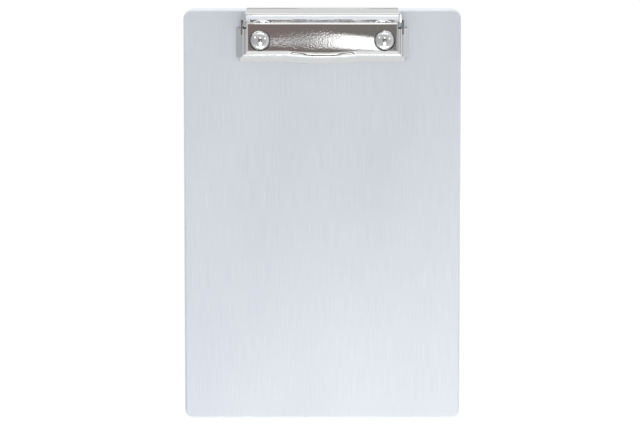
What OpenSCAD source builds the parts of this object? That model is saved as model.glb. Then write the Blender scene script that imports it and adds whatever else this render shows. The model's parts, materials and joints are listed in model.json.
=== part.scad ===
// Slim A5 storage clipboard: a shallow aluminium case whose hinged lid is the writing plate,
// with a sprung lever clip riveted to the lid's top end.
// The case lies on its back. X runs across it, Y along it with the clip at +Y, and Z is up.
// The origin is the centre of the flat back face. "s" is a distance from the case's top end towards
// the bottom end, and "h" is a height above the writing face.

/* [Case] */
// Width of the case
case_w = 158; // [145:1:190]
// Length of the case
case_l = 236; // [180:1:300]
// Height from the back face to the writing face
case_h = 15; // [13:0.5:30]
// Plan radius of the lid's corners
corner_r = 5.4; // [4:0.2:12]
// Thickness of the case's sheet
case_t = 1; // [0.7:0.1:1.3]
// Outer radius of the lid's edge bend
lid_bend_r = 1.4; // [1.4:0.1:2.5]
// Outer radius of the tray's floor bend
floor_bend_r = 2; // [1.5:0.1:3]
// Depth of the lid's rim, from the writing face down
rim_h = 10; // [8:0.5:12]
// Gap between the lid's rim and the tray's wall
slip = 0.4; // [0.3:0.05:0.8]
// Gap between the tray's rolled edge and the lid
seat_gap = 0.2; // [0.1:0.05:0.4]
// Length of the tray edge's inward hem
hem_h = 2; // [1.5:0.1:3]
// Mean radius of the hem's roll
hem_r = 0.9; // [0.8:0.05:1.2]

/* [Case hinge] */
// Outer diameter of the hinge barrel
barrel_d = 3.2; // [2.8:0.1:4]
// Diameter of the hinge pin
hinge_pin_d = 1.6; // [1.2:0.1:2]
// Thickness of a hinge leaf
leaf_t = 0.8; // [0.5:0.1:1]
// Length of the hinge
hinge_l = 210; // [150:5:280]
// Number of knuckles, an odd number
knuckles = 15; // [9:2:21]
// Gap between two knuckles
knuckle_gap = 0.2; // [0.1:0.05:0.4]
// Height of the hinge axis above the back face
hinge_z = 8; // [7:0.1:8.5]
// Number of rivets in each leaf
leaf_rivets = 5; // [3:1:8]
// Diameter of a leaf rivet's shank
leaf_rivet_d = 2; // [1.6:0.1:2.4]

/* [Snap catch] */
// Length of the catch spring
catch_l = 36; // [28:1:60]
// Width of the catch spring
catch_w = 5.4; // [5:0.1:6]
// Thickness of the catch spring
catch_t = 0.5; // [0.3:0.1:0.6]
// Diameter of the catch's dimple at its foot
nose_d = 4; // [3.6:0.1:4.4]
// How far the dimple stands out of the spring
nose_h = 1.7; // [1.6:0.05:1.9]
// Height of the dimple above the back face
nose_z = 8.2; // [8:0.1:8.8]

/* [Clip] */
// Width of the recessed panel
panel_w = 84.6; // [76:0.5:110]
// Distance from the case's end to the panel's rear end
panel_s0 = 7.4; // [7:0.1:9]
// Distance from the case's end to the panel's front end
panel_s1 = 23.1; // [22:0.1:30]
// Height of the panel's mid-sheet above the writing face
panel_h = 6.7; // [6.5:0.1:7.5]
// Thickness of the clip's sheet
clip_t = 0.8; // [0.6:0.1:1]
// Height of the lever's crest, at mid-sheet
crest_h = 12.4; // [11:0.1:14]
// How far the lever's rear lip stands past the case's end
lip_out = 1.3; // [1:0.1:4]
// Width of the lever
lever_w = 86.8; // [70:0.5:112]

/* [Clip pivot] */
// Distance from the case's end to the pivot
pivot_s = 8.6; // [8.2:0.1:9]
// Height of the pivot above the writing face
pivot_h = 3.75; // [3.7:0.05:3.9]
// Diameter of the pivot pin
pivot_d = 2.2; // [2:0.1:2.3]
// Thickness of the base plate
base_t = 1; // [0.8:0.1:1.1]
// Radius of an ear round the pin
ear_r = 2.6; // [2.3:0.1:2.7]
// Radial clearance of the clamp on the pivot pin
pivot_fit = 0.05; // [0.02:0.01:0.1]

/* [Clip springs] */
// Diameter of the spring wire
wire_d = 1; // [0.8:0.1:1]
// Mean radius of a coil
coil_r = 1.75; // [1.75:0.05:1.8]
// Turns in a coil
coil_turns = 5; // [3:1:8]
// Axial step from one turn to the next
coil_pitch = 1.5; // [1.45:0.05:2]
// Distance from the middle to the middle of a coil
coil_x = 16; // [10:1:24]

/* [Clip rivets] */
// Distance from the panel's side edge to a big rivet's middle
rivet_inset = 7; // [6.6:0.2:12]
// Distance from the case's end to the rivets
rivet_s = 17.1; // [16:0.1:18]
// Diameter of a rivet's domed head
dome_d = 10.6; // [8:0.1:10.8]
// Diameter of a rivet's shank
shank_d = 4.2; // [3:0.1:5]
// Diameter of the clamp's hole round a dome
port_d = 12; // [11.6:0.1:12.6]

/* [Hidden] */

$fn = 48;
bend_steps = 6;
eps = 0.01;

// The case, worked outwards from the lid
end_y = case_l / 2;
side_x = case_w / 2;
lid_under = case_h - case_t;
rim_foot = case_h - rim_h;
hinge_x = -side_x + case_t + 0.1 + barrel_d / 2;
wall_left = hinge_x + barrel_d / 2 + 0.1;
wall_right = side_x - case_t - slip;
tray_w = wall_right - wall_left;
tray_cx = (wall_right + wall_left) / 2;
tray_l = case_l - 2 * (case_t + slip);
tray_r = corner_r - case_t - slip;
tray_top = lid_under - seat_gap;
knuckle_l = hinge_l / knuckles;
leaf_air = 0.2;
lid_leaf_top = lid_under - 0.5;
rivet_pitch = (hinge_l - 2 * knuckle_l) / (leaf_rivets - 1);
lid_rivet_z = (lid_leaf_top + hinge_z + barrel_d / 2 + leaf_air) / 2;
tray_leaf_foot = floor_bend_r + 0.2;
tray_rivet_z = (tray_leaf_foot + hinge_z - barrel_d / 2) / 2;
rivet_tail_t = 0.6;
leaf_sink = 0.7;
catch_rivet_d = 1.6;
catch_sink = 0.5;
catch_free = 5;
catch_rivet_y = [catch_free - catch_l + 4, catch_free - catch_l + 9];
nose_air = 0.3;

// The clip, measured from the case's top end and the writing face
half_panel = panel_w / 2;
rivet_gap = panel_w - 2 * rivet_inset;
edge_lap = 0.5;
ridge_up = 0.8;
ridge_in = 0.9;
ridge_out = 2.35;
knee_u = 3.15;
knee_h = 3;
skirt_u = 6.3;
skirt_h = 0.6;
relief_x = 4.6;
relief_s = 4.1;
lip_drop = 2.6;
lip_bead_r = 0.65;
shoulder_s = 0.4;
shoulder_drop = 1.1;
crest_s = 2.3;
cut_h = 2 * crest_h;
lip_half = lever_w / 2 - 1;
fin_top_u = 1.2;
fin_slot_w = 0.5;
lug_u = 2.9;
ear_u = 1;
notch_half = 1.9;
bulge = 0.9;
bulge_half = 19;
bow_lap = 0.45;
bow_step = 0.12;
bulge_radius = (bulge_half * bulge_half + bulge * bulge) / (2 * bulge);
slit_w = 0.45;
slit_path = [[5.2, 2.75], [11.2, 1.35], [16.8, 0.85], [18.4, 1.6]];
dome_neck = 5.4;
dome_rise = 2.2;
washer_d = 9;
washer_t = 0.8;
washer_hole_air = 0.05;
tail_d = 6.6;
tail_t = 1.2;

// Joins a list of point lists into one list.
function flat(lists) = [for (one = lists) for (p = one) p];

function unit(v) = v / norm(v);

// Points of a bend of radius r at corner b, on the way from a to c.
function bend(a, b, c, r) =
    let (
        back = unit(a - b),
        on = unit(c - b),
        half = acos(max(-1, min(1, back * on))) / 2,
        mid = b + unit(back + on) * r / sin(half),
        from = b + back * r / tan(half) - mid,
        start = atan2(from[1], from[0]),
        to = b + on * r / tan(half) - mid,
        raw = atan2(to[1], to[0]) - start,
        sweep = raw > 180 ? raw - 360 : (raw < -180 ? raw + 360 : raw)
    )
    [for (i = [0 : bend_steps]) mid + r * [cos(start + sweep * i / bend_steps),
        sin(start + sweep * i / bend_steps)]];

// Leaves out a point that lies on the one before it.
function no_twins(p) = [for (i = [0 : len(p) - 1])
    if (i == 0 || norm(p[i] - p[max(0, i - 1)]) > eps / 10) p[i]];

// Mid-sheet line through corners [x, y, bend radius], where radius 0 is a sharp end.
function bent_line(c) = no_twins(flat([for (i = [0 : len(c) - 1])
    let (here = [c[i][0], c[i][1]])
    c[i][2] == 0 ? [here]
        : bend([c[i - 1][0], c[i - 1][1]], here, [c[i + 1][0], c[i + 1][1]], c[i][2])]));

function left_of(v) = [-v[1], v[0]];

// Sideways step at point i of a line, drawn out at a corner so that the sheet keeps its thickness.
function side_step(p, i) =
    let (
        before = i > 0 ? unit(p[i] - p[i - 1]) : unit(p[1] - p[0]),
        after = i < len(p) - 1 ? unit(p[i + 1] - p[i]) : before,
        mean = unit(left_of(before) + left_of(after))
    )
    mean / (mean * left_of(before));

// Cross-section of a bent sheet, t thick, along a mid-sheet line.
module sheet_section(c, t) {
    p = bent_line(c);
    n = len(p);
    polygon(concat(
        [for (i = [0 : n - 1]) p[i] + side_step(p, i) * t / 2],
        [for (i = [n - 1 : -1 : 0]) p[i] - side_step(p, i) * t / 2]));
}

// Straight run of a section whose first axis points along +X. The run lies along Y.
module straight_run(length) {
    translate([0, length / 2, 0]) rotate([90, 0, 0]) linear_extrude(length) children();
}

// Quarter turn of a section about the Z axis, from +X round to +Y, at radius r.
module corner_run(r) {
    rotate_extrude(angle = 90) translate([r, 0]) children();
}

// A section carried all the way round a rectangle of w by l with corner radius r.
module round_run(w, l, r) {
    for (q = [0 : 3]) {
        long_way = q % 2 == 0;
        reach = long_way ? w / 2 : l / 2;
        run = long_way ? l - 2 * r : w - 2 * r;
        rotate(90 * q) {
            translate([reach, 0, 0]) straight_run(run) children();
            translate([reach - r, run / 2, 0]) corner_run(r) children();
        }
    }
}

// Flat sheet with round corners.
module round_sheet(w, l, r, t) {
    linear_extrude(t) union() {
        square([w - 2 * r, l], center = true);
        square([w, l - 2 * r], center = true);
        for (sx = [-1, 1], sy = [-1, 1]) translate([sx * (w / 2 - r), sy * (l / 2 - r)]) circle(r);
    }
}

// Shallow domed head on the plane z = 0.
module dome_head(r, h) {
    ball_r = (r * r + h * h) / (2 * h);
    rotate_extrude() intersection() {
        translate([0, h - ball_r]) circle(ball_r, $fn = 96);
        square([r, h]);
    }
}

// Cylinder along X, from x0 to x1.
module x_rod(r, x0, x1) {
    translate([x0, 0, 0]) rotate([0, 90, 0]) cylinder(h = x1 - x0, r = r);
}

// Cylinder along Y, of the given length about its middle.
module y_rod(r, length) {
    rotate([90, 0, 0]) cylinder(h = length, r = r, center = true);
}

// Section of the lid's edge: plate, bend and rim. The outer face is at 0.
module lid_edge(depth) {
    mid = case_t / 2;
    sheet_section([
        [-lid_bend_r - eps, case_h - mid, 0],
        [-mid, case_h - mid, lid_bend_r - mid],
        [-mid, case_h - depth, 0]], case_t);
}

// Section of the tray's edge: floor, bend, wall and inward hem. The outer face is at 0.
module tray_edge() {
    mid = case_t / 2;
    crown = tray_top - mid;
    sheet_section([
        [-floor_bend_r - eps, mid, 0],
        [-mid, mid, floor_bend_r - mid],
        [-mid, crown, hem_r],
        [-mid - 2 * hem_r, crown, hem_r],
        [-mid - 2 * hem_r, crown - hem_r - hem_h, 0]], case_t);
}

module rivet_row() {
    for (i = [0 : leaf_rivets - 1])
        translate([0, (i - (leaf_rivets - 1) / 2) * rivet_pitch, 0]) children();
}

// Flush rivet along +X from its head at 0: cone, shank and flat tail after a grip.
module flush_rivet(d, grip, sink) {
    rotate([0, 90, 0]) {
        cylinder(h = sink, r1 = d * 0.85, r2 = d / 2);
        cylinder(h = grip + rivet_tail_t, r = d / 2);
        translate([0, 0, grip]) cylinder(h = rivet_tail_t, r = d * 0.75);
    }
}

module flush_hole(d, grip, sink) {
    rotate([0, 90, 0]) {
        cylinder(h = sink, r1 = d * 0.85, r2 = d / 2);
        translate([0, 0, -1]) cylinder(h = grip + 2, r = d / 2);
    }
}

module at_catch() {
    translate([wall_right - case_t, 0, nose_z]) children();
}

module tray() {
    color("gainsboro") difference() {
        union() {
            translate([tray_cx, 0, 0]) {
                round_run(tray_w, tray_l, tray_r) tray_edge();
                round_sheet(tray_w - 2 * floor_bend_r, tray_l - 2 * floor_bend_r,
                    tray_r - floor_bend_r, case_t);
            }
        }
        translate([wall_left - 1, 0, tray_rivet_z]) rivet_row() x_rod(leaf_rivet_d / 2, 0, 3);
        at_catch() {
            x_rod(nose_d / 2 + nose_air, -0.5, case_t + 1);
            for (y = catch_rivet_y) translate([case_t, y, 0]) mirror([1, 0, 0])
                flush_hole(catch_rivet_d, case_t, catch_sink);
        }
    }
}

module lid() {
    color("lightsteelblue") difference() {
        union() {
            round_run(case_w, case_l, corner_r) lid_edge(rim_h);
            translate([0, 0, lid_under])
                round_sheet(case_w - 2 * lid_bend_r, case_l - 2 * lid_bend_r,
                    corner_r - lid_bend_r, case_t);
        }
        // The rim is low on the hinge side, corners included, so that it swings clear of the tray.
        translate([-side_x - 1, -end_y - 1, rim_foot - 1])
            cube([wall_left + side_x + 1.5, case_l + 2, hinge_z + barrel_d / 2 + leaf_air + 1 - rim_foot]);
        translate([-side_x, 0, lid_rivet_z]) rivet_row() flush_hole(leaf_rivet_d, case_t, leaf_sink);
        translate([side_x - case_t - 0.5, 0, nose_z]) x_rod(nose_d / 2 + 0.2, 0, case_t + 1);
        at_rivets() translate([0, 0, lid_under - 1]) cylinder(h = case_t + 2, r = shank_d / 2);
    }
}

// One set of knuckles: every second one, starting at the first or the second.
module knuckle_bank(first) {
    for (i = [first : 2 : knuckles - 1])
        translate([0, (i - (knuckles - 1) / 2) * knuckle_l, 0]) children();
}

module hinge_leaf_tray() {
    color("silver") difference() {
        union() {
            translate([wall_left - leaf_t, -hinge_l / 2, tray_leaf_foot])
                cube([leaf_t, hinge_l, hinge_z - barrel_d / 2 - leaf_air - tray_leaf_foot]);
            knuckle_bank(1) {
                translate([hinge_x, 0, hinge_z]) y_rod(barrel_d / 2, knuckle_l - knuckle_gap);
                translate([wall_left - leaf_t, -(knuckle_l - knuckle_gap) / 2, tray_leaf_foot])
                    cube([leaf_t, knuckle_l - knuckle_gap, hinge_z - tray_leaf_foot]);
            }
        }
        translate([hinge_x, 0, hinge_z]) y_rod(hinge_pin_d / 2 + 0.01, hinge_l + 2);
        translate([wall_left - 2, 0, tray_rivet_z]) rivet_row() x_rod(leaf_rivet_d / 2, 0, 3);
    }
}

module hinge_leaf_lid() {
    leaf_x = -side_x + case_t;
    color("silver") difference() {
        union() {
            translate([leaf_x, -hinge_l / 2, hinge_z + barrel_d / 2 + leaf_air])
                cube([leaf_t, hinge_l, lid_leaf_top - hinge_z - barrel_d / 2 - leaf_air]);
            knuckle_bank(0) {
                translate([hinge_x, 0, hinge_z]) y_rod(barrel_d / 2, knuckle_l - knuckle_gap);
                translate([leaf_x, -(knuckle_l - knuckle_gap) / 2, hinge_z])
                    cube([leaf_t, knuckle_l - knuckle_gap, lid_leaf_top - hinge_z]);
            }
        }
        translate([hinge_x, 0, hinge_z]) y_rod(hinge_pin_d / 2 + 0.05, hinge_l + 2);
        translate([leaf_x - 1, 0, lid_rivet_z]) rivet_row() x_rod(leaf_rivet_d / 2, 0, 3);
    }
}

module hinge_pin() {
    color("dimgray") translate([hinge_x, 0, hinge_z]) y_rod(hinge_pin_d / 2, hinge_l - 1);
}

// Round-headed rivets through the tray's leaf and wall, tails inside.
module hinge_rivets_tray() {
    head_h = 0.8;
    color("gainsboro") translate([wall_left - leaf_t, 0, tray_rivet_z]) rivet_row() {
        rotate([0, -90, 0]) dome_head(leaf_rivet_d * 0.8, head_h);
        x_rod(leaf_rivet_d / 2, 0, leaf_t + case_t + rivet_tail_t);
        x_rod(leaf_rivet_d * 0.75, leaf_t + case_t, leaf_t + case_t + rivet_tail_t);
    }
}

module hinge_rivets_lid() {
    color("gainsboro") translate([-side_x, 0, lid_rivet_z]) rivet_row()
        flush_rivet(leaf_rivet_d, case_t + leaf_t, leaf_sink);
}

// Spring steel strip inside the tray's wall. Its dimple snaps into a hole in the lid's rim.
module catch_spring() {
    mid = catch_t / 2;
    color("lightslategray") at_catch() {
        difference() {
            union() {
                translate([-catch_t, catch_free - catch_l, -catch_w / 2])
                    cube([catch_t, catch_l - catch_w / 2, catch_w]);
                translate([0, catch_free - catch_w / 2, 0]) x_rod(catch_w / 2, -catch_t, 0);
            }
            x_rod(nose_d / 2, -catch_t - 1, 1);
            for (y = catch_rivet_y) translate([-2, y, 0]) x_rod(catch_rivet_d / 2, 0, 3);
        }
        rotate([0, 90, 0]) rotate_extrude() sheet_section([
            [nose_d / 2 + 0.3, -mid, 0],
            [nose_d / 2 - 0.3, -mid, 0.35],
            [nose_d / 2 - 1, nose_h - mid, 0.6],
            [0, nose_h - mid, 0]], catch_t);
    }
}

module catch_rivets() {
    color("gainsboro") at_catch() for (y = catch_rivet_y)
        translate([case_t, y, 0]) mirror([1, 0, 0])
            flush_rivet(catch_rivet_d, case_t + catch_t, catch_sink);
}

// Moves the clip's own axes to the case: +X across, +Y from the case's end towards its foot, +Z up.
module clip_frame() {
    translate([0, end_y, case_h]) mirror([0, 1, 0]) children();
}

// Turns a section of distance and height into a sheet across the clip.
module across(width) {
    rotate([90, 0, 90]) translate([0, 0, -width / 2]) linear_extrude(width) children();
}

module at_rivets() {
    for (side = [-1, 1]) translate([side * rivet_gap / 2, end_y - rivet_s, 0]) children();
}

module at_pivot() {
    translate([0, pivot_s, pivot_h]) children();
}

// The lever from its rear lip over a shoulder and the crest, and down to the panel.
lever_line = [
    [-lip_out, crest_h - lip_drop, 0],
    [shoulder_s, crest_h - shoulder_drop, 0.9],
    [crest_s, crest_h, 0.8],
    [panel_s0, panel_h, 0.9],
    [panel_s0 + 2, panel_h, 0]];

// The clamp's raised ridge and sloping skirt, from the panel's edge outwards.
module rim_section() {
    sheet_section([
        [-0.6, panel_h, 0],
        [0, panel_h, 0.6],
        [ridge_in, panel_h + ridge_up, 0.6],
        [ridge_out, panel_h + ridge_up, 0.7],
        [knee_u, knee_h, 1],
        [skirt_u, skirt_h, 0]], clip_t);
}

// The side wall's line carried up past the ridge, for the lever's side fins.
module fin_section() {
    sheet_section([
        [fin_top_u, crest_h - 0.8, 0],
        [knee_u, knee_h, 1],
        [skirt_u, skirt_h, 0]], clip_t);
}

// Side outline of a fin: distance from the case's end and height.
fin_outline = [[-0.1, 9], [-0.1, 11.4], [1, 11.5], [2.2, 9.8], [5, 8.7],
    [7.7, 7.9], [7.7, 2.9], [6.9, 3.3]];

// Everything on one side of the mitre through the panel's front corner: beside it, or before it.
module mitre(before) {
    in = -2;
    out = 2 * skirt_u;
    far = before ? [[-half_panel, out], [-half_panel, in]] : [[out, -panel_s1], [in, -panel_s1]];
    translate([half_panel, panel_s1, 0]) linear_extrude(cut_h)
        polygon(concat([[in, in], [out, out]], far));
}

module clamp_side() {
    run_s0 = pivot_s - notch_half;
    run = panel_s1 + skirt_u + clip_t - run_s0;
    intersection() {
        translate([half_panel, run_s0 + run / 2, 0]) straight_run(run) rim_section();
        mitre(false);
    }
    intersection() {
        translate([half_panel, 0, 0]) straight_run(panel_s1) fin_section();
        across(3 * panel_w) polygon(fin_outline);
    }
    // Upright lug that turns on the pin
    translate([half_panel + lug_u, 0, 0]) {
        lug_w = clip_t + 0.1;
        at_pivot() x_rod(ear_r - 0.2, 0, lug_w);
        translate([0, pivot_s - notch_half - 1.2, pivot_h - 0.4]) cube([lug_w, 2 * notch_half + 4.4, 3.4]);
    }
}

module clamp_front() {
    bow_start = bulge_half - bow_lap;
    run = half_panel + skirt_u + clip_t - bow_start;
    for (side = [0, 1]) mirror([side, 0, 0]) intersection() {
        translate([bow_start + run / 2, panel_s1, 0]) rotate(90) straight_run(run) rim_section();
        mitre(true);
    }
    // The middle of the ridge and skirt is pressed forwards as one shallow arc, with a small
    // step at its ends.
    arc = asin(bulge_half / bulge_radius);
    translate([0, panel_s1 + bow_step + bulge - bulge_radius, bow_step / 2]) rotate(90 - arc)
        rotate_extrude(angle = 2 * arc, $fn = 180) translate([bulge_radius, 0]) rim_section();
}

// Plan of the recessed panel. The middle of its front edge follows the pressed arc.
module panel_plan() {
    translate([-half_panel - edge_lap, panel_s0 + 1])
        square([panel_w + 2 * edge_lap, panel_s1 - panel_s0 - 1 + edge_lap / 2]);
    intersection() {
        translate([0, panel_s1 + bow_step + bulge - bulge_radius]) circle(bulge_radius, $fn = 360);
        translate([-bulge_half, panel_s0 + 1]) square([2 * bulge_half, panel_s1]);
    }
}

// Two thin slits that free the lip in the middle of the front ridge. Each follows the slit's path.
module lip_slits() {
    last = len(slit_path) - 1;
    for (side = [0, 1]) mirror([side, 0, 0])
        translate([0, panel_s1, panel_h - clip_t]) linear_extrude(3 * clip_t) polygon(concat(
            [for (i = [0 : last]) slit_path[i] + side_step(slit_path, i) * slit_w / 2],
            [for (i = [last : -1 : 0]) slit_path[i] - side_step(slit_path, i) * slit_w / 2]));
}

module clamp_plate() {
    color("gainsboro") clip_frame() difference() {
        union() {
            across(lever_w) sheet_section(lever_line, clip_t);
            // Rolled bead along the lip
            translate([0, -lip_out, crest_h - lip_drop]) x_rod(lip_bead_r, -lever_w / 2, lever_w / 2);
            translate([0, 0, panel_h - clip_t / 2]) linear_extrude(clip_t) panel_plan();
            clamp_front();
            for (side = [0, 1]) mirror([side, 0, 0]) clamp_side();
            // Rolled edge round each rivet port
            for (side = [-1, 1]) translate([side * rivet_gap / 2, rivet_s, panel_h - clip_t / 2])
                rotate_extrude() translate([port_d / 2 + clip_t, 0]) intersection() {
                    circle(clip_t, $fn = 32);
                    translate([-clip_t, -clip_t]) square([clip_t, 2 * clip_t]);
                }
        }
        for (side = [-1, 1]) {
            translate([side * rivet_gap / 2, rivet_s, 0]) cylinder(h = cut_h, r = port_d / 2);
        }
        // The rear lip narrows towards its edge.
        for (side = [0, 1]) mirror([side, 0, 0])
            translate([0, -lip_out - 1, 0]) linear_extrude(cut_h)
                polygon([[lip_half - 0.3, 0], [lever_w / 2, lip_out + 1],
                    [lever_w, lip_out + 1], [lever_w, 0]]);
        // Slot between the lever and its fin, notch that shows the ear and the pin, corner relief
        for (side = [0, 1]) mirror([side, 0, 0]) {
            translate([lever_w / 2 - 0.2, 1.9, 0]) cube([fin_slot_w, 3.6, cut_h]);
            translate([half_panel + 0.6, pivot_s - notch_half, pivot_h + 0.6])
                cube([lug_u - 0.8, 2 * notch_half, cut_h]);
            translate([half_panel + lug_u + clip_t + 0.1, pivot_s - notch_half, -1])
                cube([skirt_u, 2 * notch_half, cut_h]);
            translate([half_panel + relief_x, panel_s1 + relief_s, -1]) cube([skirt_u, skirt_u, cut_h]);
        }
        at_pivot() x_rod(pivot_d / 2 + pivot_fit, -panel_w, panel_w);
        lip_slits();
    }
}

ear_x = half_panel + ear_u;
ear_w = 6;
ear_t = base_t;

// Zinc-plated plate on the writing face. Its two ears carry the pin.
module clip_base_plate() {
    front_s = panel_s1 + 1.4;
    rear_s = 1.6;
    base_half = half_panel - 1.5;
    color("lightsteelblue") clip_frame() difference() {
        union() {
            translate([0, (front_s + rear_s) / 2, 0])
                round_sheet(2 * base_half, front_s - rear_s, 3, base_t);
            for (side = [0, 1]) mirror([side, 0, 0]) {
                translate([0, pivot_s, 0]) straight_run(ear_w) sheet_section([
                    [base_half - 4, base_t / 2, 0],
                    [ear_x + ear_t / 2, base_t / 2, base_t],
                    [ear_x + ear_t / 2, pivot_h - 1, 0]], ear_t);
                at_pivot() x_rod(ear_r, ear_x, ear_x + ear_t);
                at_pivot() translate([ear_x, -ear_r, -1.6]) cube([ear_t, 2 * ear_r, 1.6]);
            }
        }
        at_pivot() x_rod(pivot_d / 2 + 0.01, -panel_w, panel_w);
        for (side = [-1, 1]) translate([side * rivet_gap / 2, rivet_s, -1])
            cylinder(h = base_t + 2, r = shank_d / 2);
    }
}

pin_head_h = 0.9;
pin_head_r = 1.7;

module clip_pivot_pin() {
    reach = half_panel + lug_u + clip_t + 0.2;
    color("lightslategray") clip_frame() at_pivot() {
        x_rod(pivot_d / 2, -reach, reach);
        for (side = [0, 1]) mirror([side, 0, 0])
            translate([reach, 0, 0]) rotate([0, 90, 0]) dome_head(pin_head_r, pin_head_h);
    }
}

// Torsion spring. Both legs point to the rear: one lies on the base plate, one lifts the lever.
wire_sides = 6;
rings_per_turn = 8;
wire_air = 0.1;
leg_low_l = 6;
leg_high_l = 3.2;
leg_bend_r = 1;
coil_sweep = 360 * coil_turns + 180;
coil_top = pivot_h + coil_r;

// Point on the coil's mid line. The angle runs from the foot of the coil, rising towards the front.
function coil_point(a) = [
    coil_x + coil_pitch * (a / 360 - coil_sweep / 720),
    pivot_s + coil_r * sin(a),
    pivot_h - coil_r * cos(a)];

// The low leg slopes down until its end all but touches the base plate.
leg_low_drop = pivot_h - coil_r - base_t - wire_d / 2 - wire_air;
leg_low = unit([0, -leg_low_l, -leg_low_drop]);

// The high leg bends up and follows the underside of the lever's slope.
slope_foot = [panel_s0, panel_h];
slope_way = unit([lever_line[2][0], lever_line[2][1]] - slope_foot);
leg_track = slope_foot + (clip_t / 2 + wire_d / 2 + wire_air) * left_of(slope_way);
leg_corner = leg_track + slope_way * (coil_top - leg_track[1]) / slope_way[1];
leg_end = leg_corner + slope_way * leg_high_l;
leg_high = bent_line([
    [pivot_s, coil_top, 0],
    [leg_corner[0], leg_corner[1], leg_bend_r],
    [leg_end[0], leg_end[1], 0]]);

spring_line = concat(
    [coil_point(0) + leg_low_l * leg_low, coil_point(0) + wire_d * leg_low],
    [for (i = [0 : coil_sweep / 360 * rings_per_turn]) coil_point(i * 360 / rings_per_turn)],
    [for (i = [1 : len(leg_high) - 1]) [coil_point(coil_sweep)[0], leg_high[i][0], leg_high[i][1]]]);

// Ring of points square to the wire, turned so that one side always faces along X.
function wire_ring(p, i) =
    let (
        before = i > 0 ? unit(p[i] - p[i - 1]) : unit(p[1] - p[0]),
        after = i < len(p) - 1 ? unit(p[i + 1] - p[i]) : before,
        along = unit(before + after),
        out = unit(cross(along, [1, 0, 0])),
        side = cross(out, along)
    )
    [for (k = [0 : wire_sides - 1]) p[i] + wire_d / 2 * (cos(360 * k / wire_sides) * side
        + sin(360 * k / wire_sides) * out)];

module wire(p) {
    n = len(p);
    m = wire_sides;
    polyhedron(
        points = flat([for (i = [0 : n - 1]) wire_ring(p, i)]),
        faces = concat(
            [[for (k = [0 : m - 1]) k]],
            flat([for (i = [0 : n - 2]) flat([for (k = [0 : m - 1])
                let (a = i * m + k, b = i * m + (k + 1) % m)
                [[a, a + m, b], [b, a + m, b + m]]])]),
            [[for (k = [m - 1 : -1 : 0]) (n - 1) * m + k]]));
}

// Least gap between two turns, measured between points of the mid line that are a turn apart.
coil_gap = min([for (a = [0 : 15 : coil_sweep - 360])
    norm(coil_point(a + 360) - coil_point(a))]) - wire_d;
echo(coil_gap = coil_gap);

module clip_spring_right() {
    color("slategray") clip_frame() wire(spring_line);
}

module clip_spring_left() {
    color("slategray") clip_frame() mirror([1, 0, 0]) wire(spring_line);
}

// Button-headed rivet through the base plate, the lid and a washer. Its tail is set inside the case.
module clip_rivet() {
    head_foot = case_h + base_t;
    tail_foot = lid_under - washer_t - tail_t;
    color("gainsboro") {
        translate([0, 0, head_foot + dome_neck]) dome_head(dome_d / 2, dome_rise);
        translate([0, 0, head_foot]) cylinder(h = dome_neck, r1 = dome_d / 2 - 0.6, r2 = dome_d / 2);
        translate([0, 0, tail_foot]) cylinder(h = head_foot - tail_foot, r = shank_d / 2);
        translate([0, 0, tail_foot]) cylinder(h = tail_t, r = tail_d / 2);
    }
}

module clip_rivet_left() {
    translate([-rivet_gap / 2, end_y - rivet_s, 0]) clip_rivet();
}

module clip_rivet_right() {
    translate([rivet_gap / 2, end_y - rivet_s, 0]) clip_rivet();
}

module rivet_washer() {
    color("silver") translate([0, 0, lid_under - washer_t]) difference() {
        cylinder(h = washer_t, r = washer_d / 2);
        translate([0, 0, -1]) cylinder(h = washer_t + 2, r = shank_d / 2 + washer_hole_air);
    }
}

module rivet_washer_left() {
    translate([-rivet_gap / 2, end_y - rivet_s, 0]) rivet_washer();
}

module rivet_washer_right() {
    translate([rivet_gap / 2, end_y - rivet_s, 0]) rivet_washer();
}

tray();
lid();
hinge_leaf_tray();
hinge_leaf_lid();
hinge_pin();
hinge_rivets_tray();
hinge_rivets_lid();
catch_spring();
catch_rivets();
clip_base_plate();
clamp_plate();
clip_pivot_pin();
clip_spring_left();
clip_spring_right();
clip_rivet_left();
clip_rivet_right();
rivet_washer_left();
rivet_washer_right();
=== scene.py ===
# %% [markdown]
# # A slim storage clipboard in brushed aluminium
# The object is a shallow sheet-metal case. Its lid is the writing plate, and a sprung lever clip is
# riveted to the lid's top end. The solids come from a CAD frame in metres: X runs across the case,
# Y along it towards the clip, and Z out of the writing face. This lesson gives the solids their
# finishes, remakes the pieces whose smooth curves matter most, and lights them as in a catalogue.

# %% Load the frame
import json
import math

import bpy
import numpy as np
from mathutils import Matrix, Vector


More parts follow.
